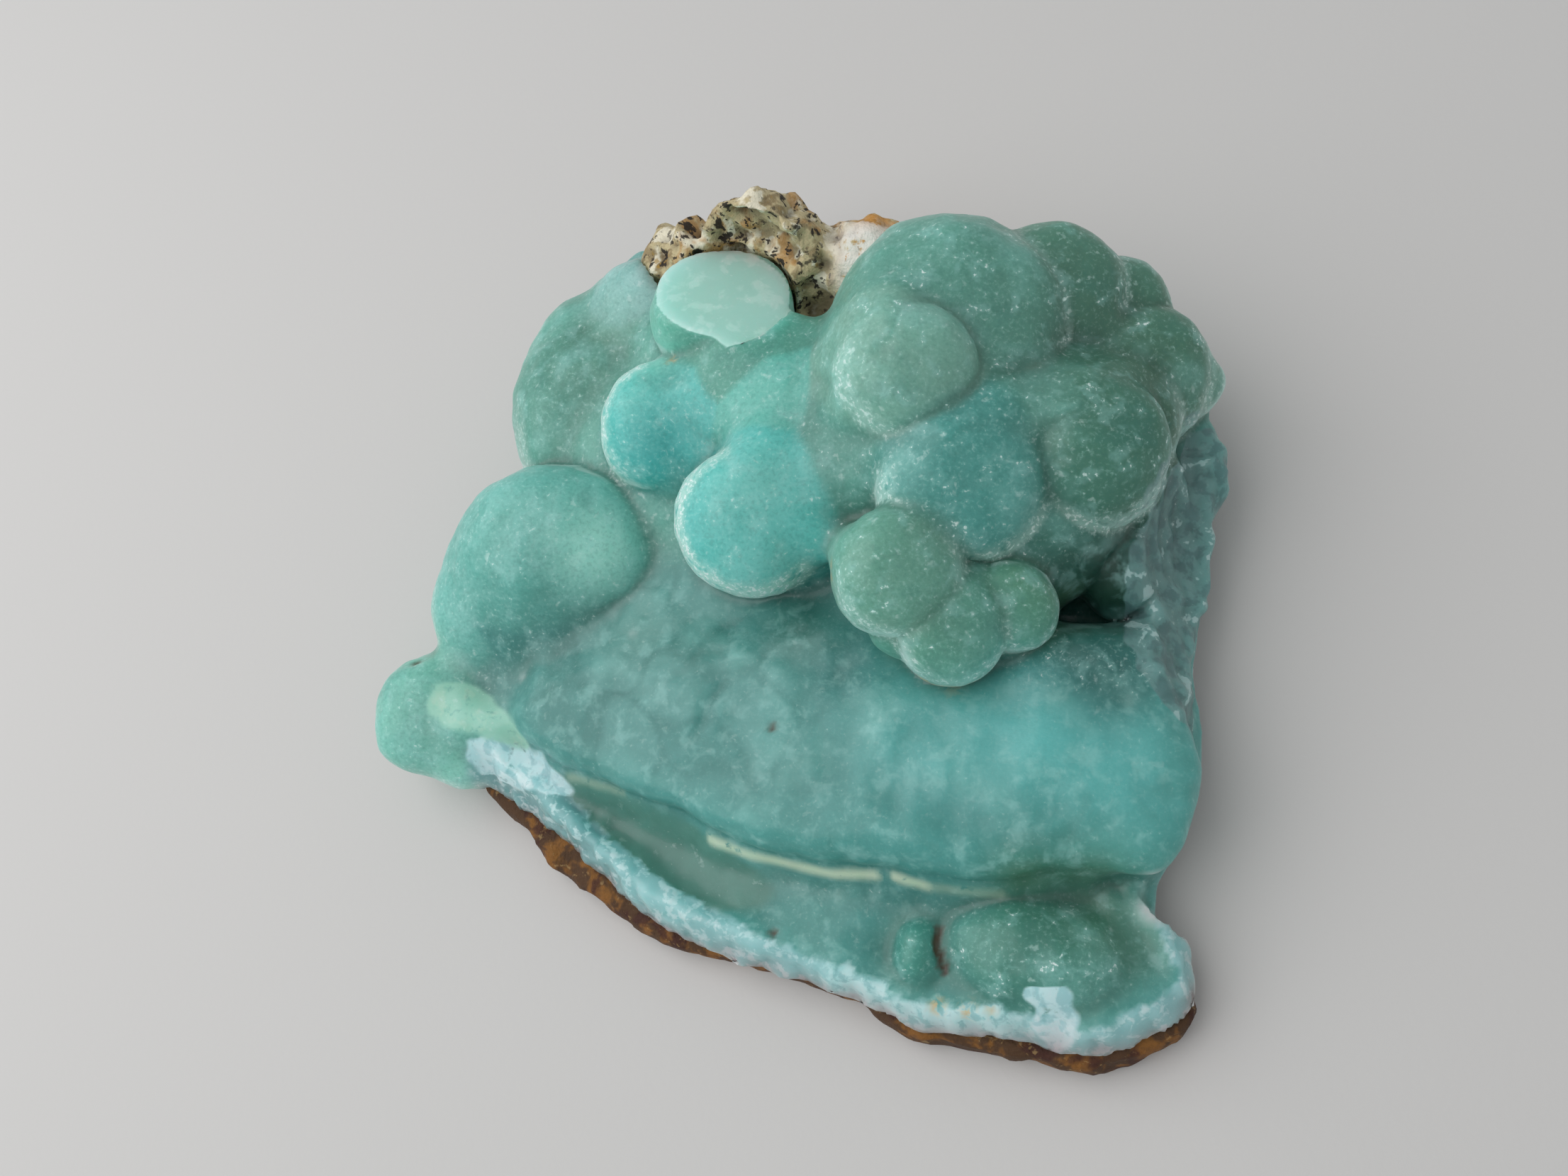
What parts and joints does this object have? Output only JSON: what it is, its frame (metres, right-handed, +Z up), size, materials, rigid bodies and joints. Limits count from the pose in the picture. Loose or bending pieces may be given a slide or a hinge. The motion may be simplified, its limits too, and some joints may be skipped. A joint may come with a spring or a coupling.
{
  "type": "hemimorphite specimen",
  "caption": "Blue-green botryoidal hemimorphite crust, with rounded lobes, a smooth slab and a lower shelf, on a flat-bottomed piece of brown iron-stained host rock.",
  "frame": {"origin": "middle of the bounding box, on the plane of the rock's flat underside", "axes": "+X along the front rim from the left tip to the right edge, +Y from the low front shelf to the high back edge, +Z up through the crust"},
  "size_m": [0.052, 0.0475, 0.0195],
  "materials": {
    "hemimorphite": "translucent blue-green mineral with a satin, finely crystalline surface",
    "host_rock": "rough brown limonite, buff and black-speckled at the back"
  },
  "bodies": {
    "root": {"hemimorphite_crust": "hemimorphite", "limonite_matrix": "host_rock"}
  },
  "joints": []
}
